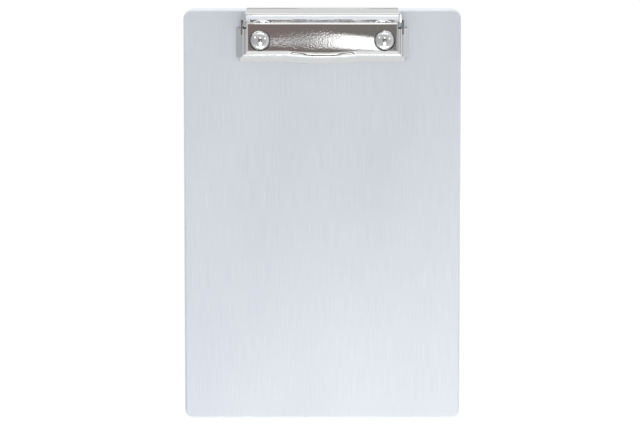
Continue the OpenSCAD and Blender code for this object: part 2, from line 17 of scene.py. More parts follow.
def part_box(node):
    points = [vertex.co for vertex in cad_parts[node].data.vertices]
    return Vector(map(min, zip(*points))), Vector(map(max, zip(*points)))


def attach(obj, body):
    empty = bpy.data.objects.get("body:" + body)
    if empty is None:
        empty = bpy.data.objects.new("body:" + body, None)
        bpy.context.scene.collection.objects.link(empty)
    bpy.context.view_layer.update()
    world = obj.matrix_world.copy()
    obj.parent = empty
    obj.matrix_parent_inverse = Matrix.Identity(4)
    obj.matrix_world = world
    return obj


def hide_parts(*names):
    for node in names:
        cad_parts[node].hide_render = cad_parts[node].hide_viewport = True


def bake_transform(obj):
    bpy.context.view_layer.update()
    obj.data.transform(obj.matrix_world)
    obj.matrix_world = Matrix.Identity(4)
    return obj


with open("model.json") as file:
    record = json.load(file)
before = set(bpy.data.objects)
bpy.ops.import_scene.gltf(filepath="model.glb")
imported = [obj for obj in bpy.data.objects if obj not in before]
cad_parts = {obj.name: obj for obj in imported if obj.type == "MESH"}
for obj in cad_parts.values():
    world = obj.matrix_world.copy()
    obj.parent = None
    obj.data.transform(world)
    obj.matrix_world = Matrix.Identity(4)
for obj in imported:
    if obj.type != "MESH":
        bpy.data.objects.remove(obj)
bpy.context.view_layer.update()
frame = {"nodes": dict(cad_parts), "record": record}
nodes = frame["nodes"]
MM = 0.001


# %% [markdown]
# Three helpers carry every material and the studio. Screen colours are written as hex codes, and
# Blender's sockets want linear light, so the first turns one into the other. The second adds a node,
# sets it and links it, so that a material reads as a list of the steps that make its surface. It
# calls a socket by name, or by number where several share a name: a Math node works on 0 and 1, and a
# Mix node takes its share at 0 and blends the numbers 2 and 3 or the colours 6 and 7. The third
# blends two colours by a value. A Color Ramp could do that, but its stops can't be fed by other nodes.

# %% Helpers for colours and nodes
def linear(code):
    """Each sRGB channel c becomes ((c + 0.055) / 1.055) ^ 2.4, or c / 12.92 near black."""
    srgb = np.array([int(code[i:i + 2], 16) for i in (1, 3, 5)]) / 255
    light = np.where(srgb > 0.04045, ((srgb + 0.055) / 1.055) ** 2.4, srgb / 12.92)
    return (*light, 1.0)


def add_node(tree, kind, inputs=None, **settings):
    """Adds a node. Each input is a plain value, or the output socket that feeds it."""
    node = tree.nodes.new(kind)
    for name, value in settings.items():
        setattr(node, name, value)
    for name, value in (inputs or {}).items():
        if isinstance(value, bpy.types.NodeSocket):
            tree.links.new(value, node.inputs[name])
        else:
            node.inputs[name].default_value = value
    return node


def blend_by(tree, value, start, end, low, high, curve="SMOOTHSTEP"):
    """Goes from the colour low to the colour high as value passes from start to end, on an S curve
    or, with LINEAR, evenly."""
    share = add_node(tree, "ShaderNodeMapRange", {
        "Value": value, "From Min": start, "From Max": end}, interpolation_type=curve).outputs["Result"]
    return add_node(tree, "ShaderNodeMix", {
        0: share, 6: low, 7: high}, data_type="RGBA").outputs[2]


print("mid grey is", linear("#808080"))

# %% [markdown]
# The camera stands two metres off with a long lens, tilted a little towards the clip's end. Seen so,
# the end wall behind the clip just shows above the plate's edge. A constraint could aim it at an
# empty, but three directions at right angles say the same and need no second object.

# %% Camera
FACE_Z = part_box("lid")[1].z
END_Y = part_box("lid")[1].y
CAMERA_DISTANCE = 2000 * MM
CAMERA_TILT = math.radians(7.6)
LENS_MM, SENSOR_MM = 196.9, 36
NEAREST = 10 * MM                    # the camera sees nothing closer than this
AIM = np.array([-1.3 * MM, 1.0 * MM, FACE_Z])

camera_place = np.array([
    0, CAMERA_DISTANCE * math.sin(CAMERA_TILT), FACE_Z + CAMERA_DISTANCE * math.cos(CAMERA_TILT)])
look = (AIM - camera_place) / np.linalg.norm(AIM - camera_place)
right = np.cross(look, (0, 1, 0))
right /= np.linalg.norm(right)
stand = np.eye(4)
stand[:3, :3] = np.column_stack([right, np.cross(right, look), -look])
stand[:3, 3] = camera_place

camera = bpy.data.objects.new("camera", bpy.data.cameras.new("camera"))
bpy.context.scene.collection.objects.link(camera)
camera.matrix_world = Matrix(stand.tolist())
camera.data.lens = LENS_MM
camera.data.sensor_width = SENSOR_MM
camera.data.clip_start = NEAREST
bpy.context.scene.camera = camera
print("camera at", camera_place.round(3))

# %% [markdown]
# Bright metal has no look of its own: it shows the studio. A panorama picture of a studio could stand
# round the object, but a few blends of the view direction need no picture and are easy to move. This
# room is pale. It is darker at the left than at the right, palest at its two ends, greyer towards the
# top and dark straight above, round the camera, so that the clip's flat faces keep some grey.

# %% Room
WALL_LEFT, WALL_RIGHT, WALL_ENDS = "#c0c3c6", "#e4e5e6", "#f4f5f5"
UPPER_WALL, UPPER_REAR = "#c8c9ca", "#d2d3d3"
CEILING_LEFT, CEILING_RIGHT = "#8b7a76", "#84837e"
WALL_SPAN = (-0.9, 0.9)              # X of the view direction, from the left to the right colour
ENDS_SPAN = (0.3, 0.8)               # Y without its sign, from there to the colour of the ends
REAR_SPAN = (0.1, 0.4)               # Y, from the upper wall's colour to that of its rear
CEILING_SPAN = (-0.3, 0.3)           # X, from the ceiling's left to its right colour
UPPER_EDGE = (0.50, 0.76)            # Z, where the upper wall fades in
CEILING_EDGE = (0.945, 0.975)        # Z, where the ceiling does

world = bpy.data.worlds.new("pale studio")
world.use_nodes = True
bpy.context.scene.world = world
sky = world.node_tree
sky.nodes.clear()
view = add_node(sky, "ShaderNodeTexCoord").outputs["Generated"]
view_x, view_y, view_z = add_node(sky, "ShaderNodeSeparateXYZ", {0: view}).outputs
to_end = add_node(sky, "ShaderNodeMath", {0: view_y}, operation="ABSOLUTE").outputs[0]
side_wall = blend_by(sky, view_x, *WALL_SPAN, linear(WALL_LEFT), linear(WALL_RIGHT))
wall = blend_by(sky, to_end, *ENDS_SPAN, side_wall, linear(WALL_ENDS))
high_wall = blend_by(sky, view_y, *REAR_SPAN, linear(UPPER_WALL), linear(UPPER_REAR))
walls = blend_by(sky, view_z, *UPPER_EDGE, wall, high_wall)
ceiling = blend_by(sky, view_x, *CEILING_SPAN, linear(CEILING_LEFT), linear(CEILING_RIGHT))
room = blend_by(sky, view_z, *CEILING_EDGE, walls, ceiling)
print("room of", len(sky.nodes), "nodes")

# %% [markdown]
# In the dark ceiling hangs a round softbox. A lamp could stand in for it, but a lamp has one even
# face, so this one is painted into the room by slopes, which are how far a direction goes across and
# along for each metre up. A slanted black card hides its lower part, and its frame ends it at the
# right. Its right half is bright, and most of its left half is creased foil. The plated clip shows
# all that sharply, as an arch with a fine grain. The brushed plate blurs it to a pale grey.

# %% Softbox
SOFTBOX_CENTRE = (0.012, -0.256)     # slopes of the direction to its centre, across and along
SOFTBOX_RADIUS = 0.179
SOFTBOX_RIGHT = 0.125                # slope across at which its frame ends it
SOFTBOX_BLUR = 0.025                 # width over which each edge fades
SOFTBOX_LEVELS = (1.05, 1.8)         # at its left end and in its right half
CARD_EDGE = -0.180                   # slope along below which the black card hides the softbox
CARD_LEAN = 0.24                     # how much lower the card's edge lies per unit to the right
FOIL_LEVELS = (0.05, 1.10)           # darkest and brightest creases of the foil
FOIL_CELL = (0.020, 0.030)           # slopes across and along that one crease takes up
FOIL_CREASE = (0.42, 0.62)           # values of the noise that give the darkest and the brightest
FOIL_START = (-0.11, -0.05)          # slopes across where the plain left end turns to foil
FOIL_END = (-0.037, 0.063)           # and where the foil turns to the right half
HANGS_FROM = (0.5, 0.6)              # Z of the view direction, so that it hangs over the horizon

upright = add_node(sky, "ShaderNodeCombineXYZ", {"X": view_z, "Y": view_z, "Z": 1.0}).outputs[0]
slopes = add_node(sky, "ShaderNodeVectorMath", {0: view, 1: upright}, operation="DIVIDE").outputs[0]
slope_x, slope_y, _ = add_node(sky, "ShaderNodeSeparateXYZ", {0: slopes}).outputs
slopes = add_node(sky, "ShaderNodeCombineXYZ", {"X": slope_x, "Y": slope_y}).outputs[0]

left_level, right_level, foil_low, foil_high = [
    (level, level, level, 1) for level in SOFTBOX_LEVELS + FOIL_LEVELS]
cells = add_node(sky, "ShaderNodeVectorMath", {
    0: slopes, 1: (1 / FOIL_CELL[0], 1 / FOIL_CELL[1], 0)}, operation="MULTIPLY").outputs[0]
creases = add_node(sky, "ShaderNodeTexNoise", {
    "Vector": cells, "Scale": 1.0, "Detail": 2.0}).outputs["Fac"]
foil = blend_by(sky, creases, *FOIL_CREASE, foil_low, foil_high)
left_half = blend_by(sky, slope_x, *FOIL_START, left_level, foil)
face = blend_by(sky, slope_x, *FOIL_END, left_half, right_level)

fade = np.array([-SOFTBOX_BLUR / 2, SOFTBOX_BLUR / 2])
above_card = add_node(sky, "ShaderNodeVectorMath", {
    0: slopes, 1: (CARD_LEAN, 1, 0)}, operation="DOT_PRODUCT").outputs["Value"]
from_centre = add_node(sky, "ShaderNodeVectorMath", {
    0: slopes, 1: (*SOFTBOX_CENTRE, 0)}, operation="DISTANCE").outputs["Value"]
cut = blend_by(sky, above_card, *(CARD_EDGE + fade), ceiling, face)
hung = blend_by(sky, from_centre, *(SOFTBOX_RADIUS + fade), cut, room)
framed = blend_by(sky, slope_x, SOFTBOX_RIGHT, SOFTBOX_RIGHT + SOFTBOX_BLUR, hung, room)
studio = blend_by(sky, view_z, *HANGS_FROM, room, framed)
background = add_node(sky, "ShaderNodeBackground", {"Color": studio, "Strength": 1.0})
add_node(sky, "ShaderNodeOutputWorld", {"Surface": background.outputs[0]})
bpy.context.scene.view_settings.view_transform = "Standard"
print("softbox at", SOFTBOX_CENTRE, "with a radius of", SOFTBOX_RADIUS)

# %% [markdown]
# The lamps are area lamps, which is what softboxes and windows are. Their power is set in watts, but
# a level is easier to judge: how bright the face looks, where 1 is white, as in the room's colours. A
# face that glows evenly gives off its level times pi times its area. The key lamp stands past the
# foot of the plate and brightens that end, the windows light the case from the front and the rear,
# and the three small lamps are seen in the round rivet heads.

# %% Lamps
CLIP_END = Vector((0, END_Y, FACE_Z))
LAMPS = {                            # slope across and along, distance, width, height, level
    "key_lamp": (0.03, -0.60, 1.3, 0.5, 0.5, 2.8),
    "rear_window": (0.10, 1.45, 1.9, 1.6, 0.45, 1.1),
    "front_window": (0.0, -1.8, 1.9, 1.9, 0.5, 1.5),
    "left_lamp": (-0.95, 0.46, 1.8, 0.30, 0.30, 2.0),
    "middle_lamp": (0.03, 0.30, 1.8, 0.30, 0.30, 2.0),
    "right_lamp": (0.87, 0.25, 1.8, 0.30, 0.30, 2.0),
}
for name, (across, along, distance, width, height, level) in LAMPS.items():
    lamp = bpy.data.objects.new(name, bpy.data.lights.new(name, "AREA"))
    bpy.context.scene.collection.objects.link(lamp)
    toward = Vector((across, along, 1)).normalized()
    lamp.location = CLIP_END + distance * toward
    lamp.rotation_euler = toward.to_track_quat("Z", "Y").to_euler()
    lamp.data.shape = "RECTANGLE"
    lamp.data.size = width
    lamp.data.size_y = height
    lamp.data.energy = level * math.pi * width * height
print("lamps:", len(LAMPS))

# %% [markdown]
# The floor is plain and pale. More light would make it white, but would bleach the object too. So a
# camera or a mirror sees it as white paper: most of its light is its own, so it stays white, and a
# smaller share is real shading, which keeps the object's shadow. All other light meets plain paper.

# %% Floor
FLOOR_SIZE = 12.0
FLOOR_DROP = 0.2 * MM                # how far it lies under the case, so that no two faces coincide
FLOOR_GLOW = 0.80
FLOOR_LIGHT, FLOOR_SHADE, FLOOR_PLAIN = "#ffffff", "#a0a0a0", "#e8e8e8"

half = FLOOR_SIZE / 2
floor_mesh = bpy.data.meshes.new("floor")
floor_mesh.from_pydata(
    [(x * half, y * half, -FLOOR_DROP) for x, y in ((-1, -1), (1, -1), (1, 1), (-1, 1))],
    [], [(0, 1, 2, 3)])
floor = bpy.data.objects.new("floor", floor_mesh)
bpy.context.scene.collection.objects.link(floor)
paper = bpy.data.materials.new("white paper")
paper.use_nodes = True
tree = paper.node_tree
tree.nodes.clear()
ray = add_node(tree, "ShaderNodeLightPath").outputs
seen = add_node(tree, "ShaderNodeMath", {
    0: ray["Is Camera Ray"], 1: ray["Is Glossy Ray"]}, operation="MAXIMUM").outputs[0]
seen = add_node(tree, "ShaderNodeMath", {
    0: seen, 1: ray["Is Transmission Ray"]}, operation="MAXIMUM").outputs[0]
glow = add_node(tree, "ShaderNodeEmission", {"Color": linear(FLOOR_LIGHT), "Strength": FLOOR_GLOW})
shade = add_node(tree, "ShaderNodeBsdfDiffuse", {"Color": linear(FLOOR_SHADE)})
both = add_node(tree, "ShaderNodeAddShader", {0: glow.outputs[0], 1: shade.outputs[0]})
plain = add_node(tree, "ShaderNodeBsdfDiffuse", {"Color": linear(FLOOR_PLAIN)})
surface = add_node(tree, "ShaderNodeMixShader", {0: seen, 1: plain.outputs[0], 2: both.outputs[0]})
add_node(tree, "ShaderNodeOutputMaterial", {"Surface": surface.outputs[0]})
floor.data.materials.append(paper)
print("floor", FLOOR_SIZE, "m square")


# %% [markdown]
# Every finish on this object is bare or plated metal, so each material starts from one function: a
# metal with its colour and roughness, and its other settings left alone. The patterns that set the
# finishes apart are noise on the object's own coordinates. Pictures could carry them, but noise
# needs no unwrapping and doesn't repeat. Its scale is 1 over the real size of its cells, and most of
# its values lie between 0.3 and 0.7. A bump's distance is the height of the real relief in metres.

# %% A metal to start from
NOISE_SPAN = (0.3, 0.7)


def start_metal(name, colour, roughness):
    """A metallic surface, with the node tree, its shader and its object coordinates."""
    material = bpy.data.materials.new(name)
    material.use_nodes = True
    tree = material.node_tree
    tree.nodes.clear()
    shader = add_node(tree, "ShaderNodeBsdfPrincipled", {
        "Base Color": linear(colour), "Metallic": 1.0, "Roughness": roughness})
    add_node(tree, "ShaderNodeOutputMaterial", {"Surface": shader.outputs[0]})
    place = add_node(tree, "ShaderNodeTexCoord").outputs["Object"]
    return material, tree, shader, place


def textured_metal(name, colour, roughness, cell, tints, depth, detail=2.0):
    """A metal with one noise, of cells of the given size in metres along X, Y and Z, which both
    tints it from the first to the second colour and raises it by up to depth."""
    material, tree, shader, place = start_metal(name, colour, roughness)
    spread = add_node(tree, "ShaderNodeMapping", {
        "Vector": place, "Scale": [1 / size for size in cell]}).outputs[0]
    pattern = add_node(tree, "ShaderNodeTexNoise", {
        "Vector": spread, "Scale": 1.0, "Detail": detail}).outputs["Fac"]
    tint = blend_by(tree, pattern, *NOISE_SPAN, *map(linear, tints), curve="LINEAR")
    relief = add_node(tree, "ShaderNodeBump", {"Height": pattern, "Distance": depth, "Strength": 1.0})
    tree.links.new(tint, shader.inputs["Base Color"])
    tree.links.new(relief.outputs[0], shader.inputs["Normal"])
    return material


print("noise tints from", NOISE_SPAN[0], "to", NOISE_SPAN[1])

# %% [markdown]
# The lid is sheet aluminium, brushed along its length by an abrasive belt and then anodised clear.
# The belt leaves hair lines a tenth of a millimetre wide and some centimetres long, drawn here three
# times as wide so that they show. Grooves in the mesh would take millions of faces, so the lines are
# noise stretched along the case. They scatter light mostly sideways, which is what anisotropy does.
# The sheet was brushed before it was bent, so on the end walls the lines run down. To the eye this is
# a pale sheen with no sharp reflection, and with fine lines in it from close by.

# %% Brushed anodised aluminium
LINE_WIDTH, LINE_LENGTH, LINE_DEPTH = 0.3 * MM, 22 * MM, 0.008 * MM
LINE_DETAIL, LINE_BREAKUP = 3.0, 0.65       # finer lines within the lines, and how strong they are
LINE_TINTS = ("#eaeff6", "#f5f9fd")
LINE_ROUGHNESS = (0.50, 0.58)
CLOUD_WIDTH, CLOUD_LENGTH = 55.6 * MM, 143 * MM     # soft clouds that anodising leaves in the colour
CLOUD_TINTS = ("#f7f8fa", "#ffffff")
SIDEWAYS, QUARTER_TURN = 0.45, 0.25         # how far light is drawn out, and its turn across the lines

lid_metal, tree, shader, place = start_metal("brushed anodised aluminium", "#eef3f9", 0.5)
across, along = 1 / LINE_WIDTH, 1 / LINE_LENGTH
flat_lines, end_lines = [
    add_node(tree, "ShaderNodeTexNoise", {
        "Vector": add_node(tree, "ShaderNodeMapping", {"Vector": place, "Scale": scale}).outputs[0],
        "Scale": 1.0, "Detail": LINE_DETAIL, "Roughness": LINE_BREAKUP}).outputs["Fac"]
    for scale in ((across, along, across), (across, across, along))]
facing = add_node(tree, "ShaderNodeTexCoord").outputs["Normal"]
facing_y = add_node(tree, "ShaderNodeSeparateXYZ", {0: facing}).outputs["Y"]
on_end = add_node(tree, "ShaderNodeMath", {0: facing_y}, operation="ABSOLUTE").outputs[0]
lines = add_node(tree, "ShaderNodeMix", {0: on_end, 2: flat_lines, 3: end_lines}).outputs[0]
line_tint = blend_by(tree, lines, *NOISE_SPAN, *map(linear, LINE_TINTS), curve="LINEAR")
spread = add_node(tree, "ShaderNodeMapping", {
    "Vector": place, "Scale": (1 / CLOUD_WIDTH, 1 / CLOUD_LENGTH, 1 / CLOUD_WIDTH)}).outputs[0]
clouds = add_node(tree, "ShaderNodeTexNoise", {
    "Vector": spread, "Scale": 1.0, "Detail": 1.0}).outputs["Fac"]
cloud_tint = blend_by(tree, clouds, *NOISE_SPAN, *map(linear, CLOUD_TINTS), curve="LINEAR")
colour = add_node(tree, "ShaderNodeMix", {
    0: 1.0, 6: line_tint, 7: cloud_tint}, data_type="RGBA", blend_type="MULTIPLY").outputs[2]
rough = add_node(tree, "ShaderNodeMapRange", {
    "Value": lines, "To Min": LINE_ROUGHNESS[0], "To Max": LINE_ROUGHNESS[1]}).outputs[0]
relief = add_node(tree, "ShaderNodeBump", {"Height": lines, "Distance": LINE_DEPTH, "Strength": 1.0})
brushing = add_node(tree, "ShaderNodeCombineXYZ", {"Y": 1.0}).outputs[0]
tree.links.new(colour, shader.inputs["Base Color"])
tree.links.new(rough, shader.inputs["Roughness"])
tree.links.new(relief.outputs[0], shader.inputs["Normal"])
tree.links.new(brushing, shader.inputs["Tangent"])
shader.inputs["Anisotropic"].default_value = SIDEWAYS
shader.inputs["Anisotropic Rotation"].default_value = QUARTER_TURN
print("hair lines", LINE_WIDTH / MM, "mm wide")

# %% [markdown]
# The tray is the same sheet, but only etched before it was anodised: an even satin with a very fine
# tooth and no direction. Roughness alone could give the satin, but then it would look like paint. The
# tooth breaks up its sheen, and it is drawn at half a millimetre so that it shows. To the eye the
# tray is soft and plain, and a shade darker than the lid.

# %% Satin anodised aluminium
TOOTH, TOOTH_DEPTH = 0.5 * MM, 0.010 * MM
HAZE = 40 * MM                       # soft clouds, as on the lid, but with no direction
HAZE_TINTS = ("#d5dbe4", "#e3e8ef")

tray_metal, tree, shader, place = start_metal("satin anodised aluminium", "#dde2ea", 0.48)
tooth = add_node(tree, "ShaderNodeTexNoise", {"Vector": place, "Scale": 1 / TOOTH, "Detail": 3.0})
haze = add_node(tree, "ShaderNodeTexNoise", {"Vector": place, "Scale": 1 / HAZE}).outputs["Fac"]
tint = blend_by(tree, haze, *NOISE_SPAN, *map(linear, HAZE_TINTS), curve="LINEAR")
relief = add_node(tree, "ShaderNodeBump", {
    "Height": tooth.outputs["Fac"], "Distance": TOOTH_DEPTH, "Strength": 1.0})
tree.links.new(tint, shader.inputs["Base Color"])
tree.links.new(relief.outputs[0], shader.inputs["Normal"])
print(tray_metal.name)


# %% [markdown]
# The clip is pressed from sheet steel and nickel plated. The press leaves its wide panel slightly
# crowned, and rolls the top of the ridge round it outwards. That turns a mirror by only a few
# degrees, but it is what draws the softbox as an arch. A solid could be curved as little, but its
# facets would show in so sharp a mirror. So both are heights that a bump lays over the flat solid,
# measured from the case's end and from its middle line.

# %% Form of the clip's panel
CROWN_FROM_END = 14 * MM             # distance of the crown's top from the case's end
CROWN_ACROSS, CROWN_ALONG = 0.80, 3.4       # height falls by these times distance squared, in metres
RIDGE_X = 42.9 * MM                  # inner edge of the ridge's top, from the middle line
RIDGE_FROM_END = 24.0 * MM           # and from the case's end
RIDGE_TOP, RIDGE_TILT = 1.0 * MM, 0.6       # how wide that top is, and how steeply it rolls outwards


def panel_height(tree, place):
    """Height is -(CROWN_ACROSS * x^2 + CROWN_ALONG * y^2) from the crown's top, and falls by a
    further RIDGE_TILT times the distance past the ridge's inner edge, over the width of its top."""
    from_crown = add_node(tree, "ShaderNodeMapping", {
        "Vector": place, "Location": (0, CROWN_FROM_END - END_Y, 0)}).outputs[0]
    squares = add_node(tree, "ShaderNodeVectorMath", {
        0: from_crown, 1: from_crown}, operation="MULTIPLY").outputs[0]
    crown = add_node(tree, "ShaderNodeVectorMath", {
        0: squares, 1: (-CROWN_ACROSS, -CROWN_ALONG, 0)}, operation="DOT_PRODUCT").outputs["Value"]
    x, y, _ = add_node(tree, "ShaderNodeSeparateXYZ", {0: place}).outputs
    beside = add_node(tree, "ShaderNodeMath", {0: x}, operation="ABSOLUTE").outputs[0]
    beside = add_node(tree, "ShaderNodeMath", {0: beside, 1: RIDGE_X}, operation="SUBTRACT").outputs[0]
    before = add_node(tree, "ShaderNodeMath", {
        0: END_Y - RIDGE_FROM_END, 1: y}, operation="SUBTRACT").outputs[0]
    past = add_node(tree, "ShaderNodeMath", {0: beside, 1: before}, operation="MAXIMUM").outputs[0]
    roll = add_node(tree, "ShaderNodeMapRange", {
        "Value": past, "From Max": RIDGE_TOP, "To Max": -RIDGE_TILT * RIDGE_TOP}).outputs[0]
    return add_node(tree, "ShaderNodeMath", {0: crown, 1: roll}, operation="ADD").outputs[0]


print("the ridge's top falls", RIDGE_TILT * RIDGE_TOP / MM, "mm by its roll")


# %% [markdown]
# Plating is bright but follows the sheet, so it keeps the sheet's orange peel, a dimpling about a
# millimetre across. It is deepest in a patch of the panel beside its middle and fades out round it.
# The domed rivets are headed and polished, and have hardly any. Roughness could blur the reflections
# instead, but then they would look like satin: a fine relief keeps them bright and breaks them into
# grain. Handling leaves a faint wear in patches, which only the roughness shows.

# %% Nickel plated steel
NICKEL = "#dddddd"
PEEL = 1.0 * MM                      # how wide its dimples are
PEEL_DETAIL, PEEL_BREAKUP = 1.0, 0.4        # little finer relief, so that they stay smooth
PEEL_DEPTH, GRAIN_DEPTH, DOME_DEPTH = 0.005 * MM, 0.030 * MM, 0.003 * MM    # panel, patch, rivets
GRAIN_X, GRAIN_FROM_END = -12 * MM, 16 * MM     # centre of the grainy patch
GRAIN_FADE = (14 * MM, 30 * MM)      # how far across from there the grain begins to fade, and is gone
GRAIN_SQUASH = 3                     # how many times narrower the patch is along the case
WEAR = 3.33 * MM                     # how wide the patches of wear are
WEAR_ROUGHNESS = (0.02, 0.07)


def grain_depth(tree, place):
    """Depth goes from GRAIN_DEPTH to PEEL_DEPTH on an S curve over GRAIN_FADE, where the distance is
    that from the patch's centre, with its part along the case times GRAIN_SQUASH."""
    from_patch = add_node(tree, "ShaderNodeMapping", {
        "Vector": place, "Location": (-GRAIN_X, -GRAIN_SQUASH * (END_Y - GRAIN_FROM_END), 0),
        "Scale": (1, GRAIN_SQUASH, 0)}).outputs[0]
    distance = add_node(tree, "ShaderNodeVectorMath", {
        0: from_patch}, operation="LENGTH").outputs["Value"]
    return add_node(tree, "ShaderNodeMapRange", {
        "Value": distance, "From Min": GRAIN_FADE[0], "From Max": GRAIN_FADE[1],
        "To Min": GRAIN_DEPTH, "To Max": PEEL_DEPTH}, interpolation_type="SMOOTHSTEP").outputs["Result"]


def nickel(name, on_panel):
    """Nickel plate with orange peel, and on the panel with its form and its grainy patch."""
    material, tree, shader, place = start_metal(name, NICKEL, WEAR_ROUGHNESS[1])
    peel = add_node(tree, "ShaderNodeTexNoise", {
        "Vector": place, "Scale": 1 / PEEL, "Detail": PEEL_DETAIL, "Roughness": PEEL_BREAKUP})
    dimples = {"Height": peel.outputs["Fac"], "Distance": DOME_DEPTH, "Strength": 1.0}
    if on_panel:
        form = add_node(tree, "ShaderNodeBump", {
            "Height": panel_height(tree, place), "Distance": 1.0, "Strength": 1.0})
        dimples |= {"Distance": grain_depth(tree, place), "Normal": form.outputs[0]}
    relief = add_node(tree, "ShaderNodeBump", dimples)
    wear = add_node(tree, "ShaderNodeTexNoise", {"Vector": place, "Scale": 1 / WEAR, "Detail": 3.0})
    rough = add_node(tree, "ShaderNodeMapRange", {
        "Value": wear.outputs["Fac"], "To Min": WEAR_ROUGHNESS[0], "To Max": WEAR_ROUGHNESS[1]})
    tree.links.new(relief.outputs[0], shader.inputs["Normal"])
    tree.links.new(rough.outputs["Result"], shader.inputs["Roughness"])
    return material


clamp_metal = nickel("nickel plated steel", on_panel=True)
dome_metal = nickel("nickel plated rivet steel", on_panel=False)
print(clamp_metal.name, "and", dome_metal.name)

# %% [markdown]
# The clip's inner parts are steel, zinc plated and blue passivated. Paint of that colour would hide
# the metal, so here the metal itself is tinted. The plating's grain, a few millimetres across, turns
# the blue a little, and gives the eye a soft shine that is colder than the nickel beside it.

# %% Zinc plated steel
zinc = textured_metal(
    "zinc plated steel", "#c9d2da", 0.45, cell=(4.55 * MM,) * 3, tints=("#b7c6d2", "#d8dcda"),
    depth=0.03 * MM, detail=3.0)
print(zinc.name)

# %% [markdown]
# The hinge is plain steel strip. Cold rolling draws every mark out along the strip, which lies along
# the case, so its cells are long. To the eye that is a plain grey with faint streaks.

# %% Rolled strip steel
strip = textured_metal(
    "rolled strip steel", "#c6c8c9", 0.32, cell=(0.4 * MM, 16.7 * MM, 0.4 * MM),
    tints=("#b9bcbe", "#cfd1d1"), depth=0.01 * MM)
print(strip.name)

# %% [markdown]
# Spring wire is drawn hard through a die, which leaves it smooth, shiny and a darker grey. Its marks
# run with the wire and turn with its coils, but they are too fine to see from here, so fine cells
# with no direction stand in for them and give the eye a slight unevenness of tone.

# %% Drawn spring steel
wire_steel = textured_metal(
    "drawn spring steel", "#aab0b4", 0.25, cell=(0.3 * MM,) * 3, tints=("#9ba2a7", "#b9bec1"),
    depth=0.01 * MM)
print(wire_steel.name)

# %% [markdown]
# The small rivets are bare aluminium, headed cold by a punch. That leaves shallow dents about half a
# millimetre across and, to the eye, a pale head that is brighter and livelier than the satin sheet.

# %% Headed aluminium
rivet_metal = textured_metal(
    "headed aluminium", "#d9dadc", 0.3, cell=(0.6 * MM,) * 3, tints=("#cfd1d4", "#e2e3e5"),
    depth=0.02 * MM)
print(rivet_metal.name)

# %% [markdown]
# The record names a finish for each solid, so the solids could be dressed one by one, but a table
# from the record's words to the materials dresses them all. Only the two domed rivets differ: they
# share the clip's plating, but not the form of its panel.

# %% Put the finishes on the solids
FINISHES = {
    "brushed_aluminium": lid_metal, "case_aluminium": tray_metal, "nickel_steel": clamp_metal,
    "zinc_steel": zinc, "hinge_steel": strip, "spring_steel": wire_steel, "rivet_aluminium": rivet_metal}
for row in frame["record"]["subparts"]:
    nodes[row["node"]].material_slots[0].material = FINISHES[row["material_slot"]]
for name in ("clip_rivet_left", "clip_rivet_right"):
    nodes[name].material_slots[0].material = dome_metal
print("finished", len(nodes), "nodes")


# %% [markdown]
# Two kinds of pieces are remade with rounder forms: the wound springs and the domed rivets. Both are
# grids of points whose rows are rings, so they share a function for the faces between the rings and
# one for the mesh. Blender's own curve bevel and Screw modifier could make them, but on a grid every
# point has a formula.

# %% Faces and meshes from rings
def ring_faces(rings, around):
    """Face (i, k) joins the points k and k + 1 of ring i to those of ring i + 1. Point (i, k) has
    the number i * around + k, and the last point of a ring is followed by its first."""
    i, k = np.meshgrid(np.arange(rings - 1), np.arange(around), indexing="ij")
    on = (k + 1) % around
    this, following = i * around, (i + 1) * around
    return np.stack([this + k, this + on, following + on, following + k], -1).reshape(-1, 4)


def make_piece(name, points, faces):
    """A smooth mesh of these points and faces, as an object at the origin."""
    mesh = bpy.data.meshes.new(name)
    mesh.from_pydata(points.tolist(), [], faces)
    mesh.shade_smooth()
    piece = bpy.data.objects.new(name, mesh)
    bpy.context.scene.collection.objects.link(piece)
    print(name, len(mesh.polygons), "faces")
    return piece


print("between 2 rings of 4 points:", ring_faces(2, 4).tolist())


# %% [markdown]
# Under the lever sit two torsion springs: round spring wire wound five and a half times round the
# pivot pin, with one leg on the base plate and one under the lever. The solid's wire has six sides,
# and here the same path carries a round section. A ring stands square to the path at each of its
# points: a circle in the plane of two directions, one nearly along the pin and the other square to
# the path. The ends are rounded, as on wire that was tumbled after it was cut.

# %% Tube along a path
SIDES = 20
CAP_RINGS = 5


def tube(name, path, radius):
    """Point (i, k) is path[i] + r[i] * (cos(a[k]) * side[i] + sin(a[k]) * out[i]), where out is
    along the path crossed with X and r falls as a quarter circle at both ends, to round them."""
    along = np.gradient(path, axis=0)
    along /= np.linalg.norm(along, axis=1)[:, None]
    tilt = np.linspace(0, np.pi / 2, CAP_RINGS + 1)[:-1]
    head = path[0] - radius * np.sin(tilt[::-1, None]) * along[0]
    tail = path[-1] + radius * np.sin(tilt[:, None]) * along[-1]
    spine = np.vstack([head, path[1:-1], tail])
    r = radius * np.concatenate([np.cos(tilt[::-1]), np.ones(len(path) - 2), np.cos(tilt)])
    along = np.vstack([[along[0]] * CAP_RINGS, along[1:-1], [along[-1]] * CAP_RINGS])
    out = np.cross(along, (1, 0, 0))
    out /= np.linalg.norm(out, axis=1)[:, None]
    side = np.cross(out, along)
    a = np.linspace(0, 2 * np.pi, SIDES, endpoint=False)[None, :, None]
    points = spine[:, None] + r[:, None, None] * (np.cos(a) * side[:, None] + np.sin(a) * out[:, None])
    ends = [list(range(SIDES - 1, -1, -1)), list(range((len(spine) - 1) * SIDES, len(spine) * SIDES))]
    return make_piece(name, points.reshape(-1, 3), ring_faces(len(spine), SIDES).tolist() + ends)


print("tube of", SIDES, "sides")
